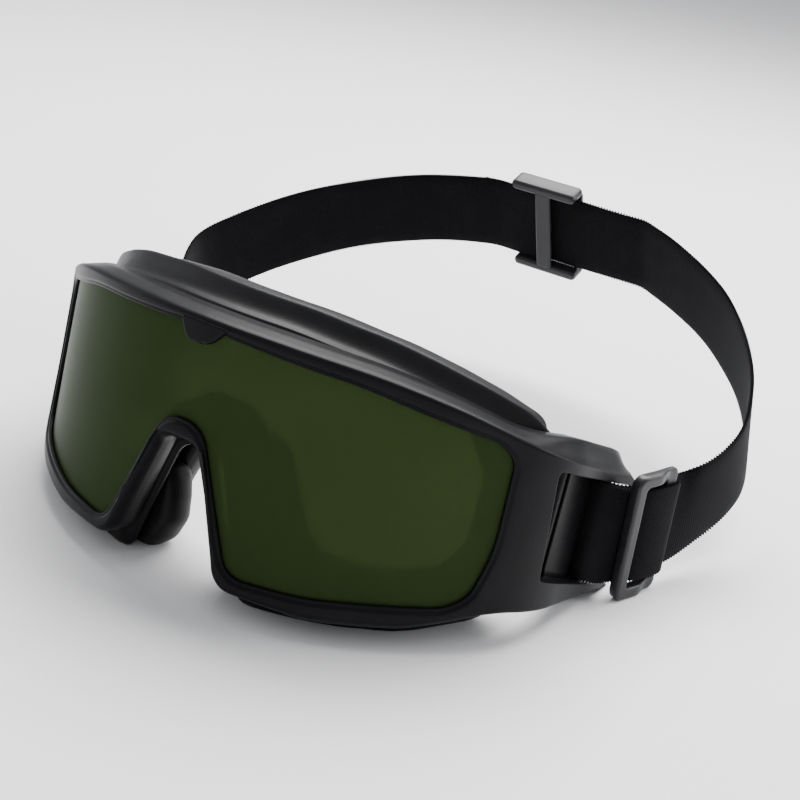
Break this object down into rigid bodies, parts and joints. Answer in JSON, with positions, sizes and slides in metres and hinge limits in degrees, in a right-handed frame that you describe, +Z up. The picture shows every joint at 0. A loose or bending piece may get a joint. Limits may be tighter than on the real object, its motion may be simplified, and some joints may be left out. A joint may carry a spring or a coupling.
{
  "type": "welding goggles",
  "caption": "Wrap-round welding goggles with a one-piece dark green window, a soft face seal, and an elastic head strap held by temple buckles and a rear slider.",
  "frame": {"origin": "centre of the footprint, on the surface the goggles rest on", "axes": "+X towards the wearer's left, +Y towards the back of the head, +Z up; the goggles lean back 9.6 degrees as they rest"},
  "size_m": [0.218, 0.2352, 0.0825],
  "materials": {
    "frame": "fine matt moulded black",
    "window": "smooth dark green welding window",
    "body": "soft matt black moulding",
    "seal": "soft matt black elastomer",
    "insert": "polished black",
    "strap": "black woven elastic",
    "hardware": "satin dark grey nylon"
  },
  "bodies": {
    "goggles": {"front_frame": "frame", "lens": "window", "rear_frame": "body", "face_seal": "seal", "strap_anchor_left": "insert", "strap_anchor_right": "insert", "strap_loop_left": "strap", "strap_loop_right": "strap", "strap_end_left": "strap", "strap_end_right": "strap"},
    "head_strap": {"strap_left": "strap", "strap_right": "strap"},
    "buckle_left": {"buckle_left": "hardware", "strap_tail_left": "strap"},
    "buckle_right": {"buckle_right": "hardware", "strap_tail_right": "strap"},
    "rear_slider": {"rear_slider": "hardware"}
  },
  "joints": [
    {"name": "strap_tilt", "type": "hinge", "parent": "goggles", "child": "head_strap", "pos_m": [0, 0.00534, 0.023], "axis": [1, 0, 0], "range_deg": [-20, 40]},
    {"name": "buckle_left_slide", "type": "slide", "parent": "goggles", "child": "buckle_left", "axis": [0.3013, 0.9535, 0], "range_m": [0, 0.007]},
    {"name": "buckle_right_slide", "type": "slide", "parent": "goggles", "child": "buckle_right", "axis": [-0.3013, 0.9535, 0], "range_m": [0, 0.007]},
    {"name": "rear_slider_slide", "type": "slide", "parent": "head_strap", "child": "rear_slider", "axis": [1, 0, 0], "range_m": [-0.004, 0.012]}
  ]
}
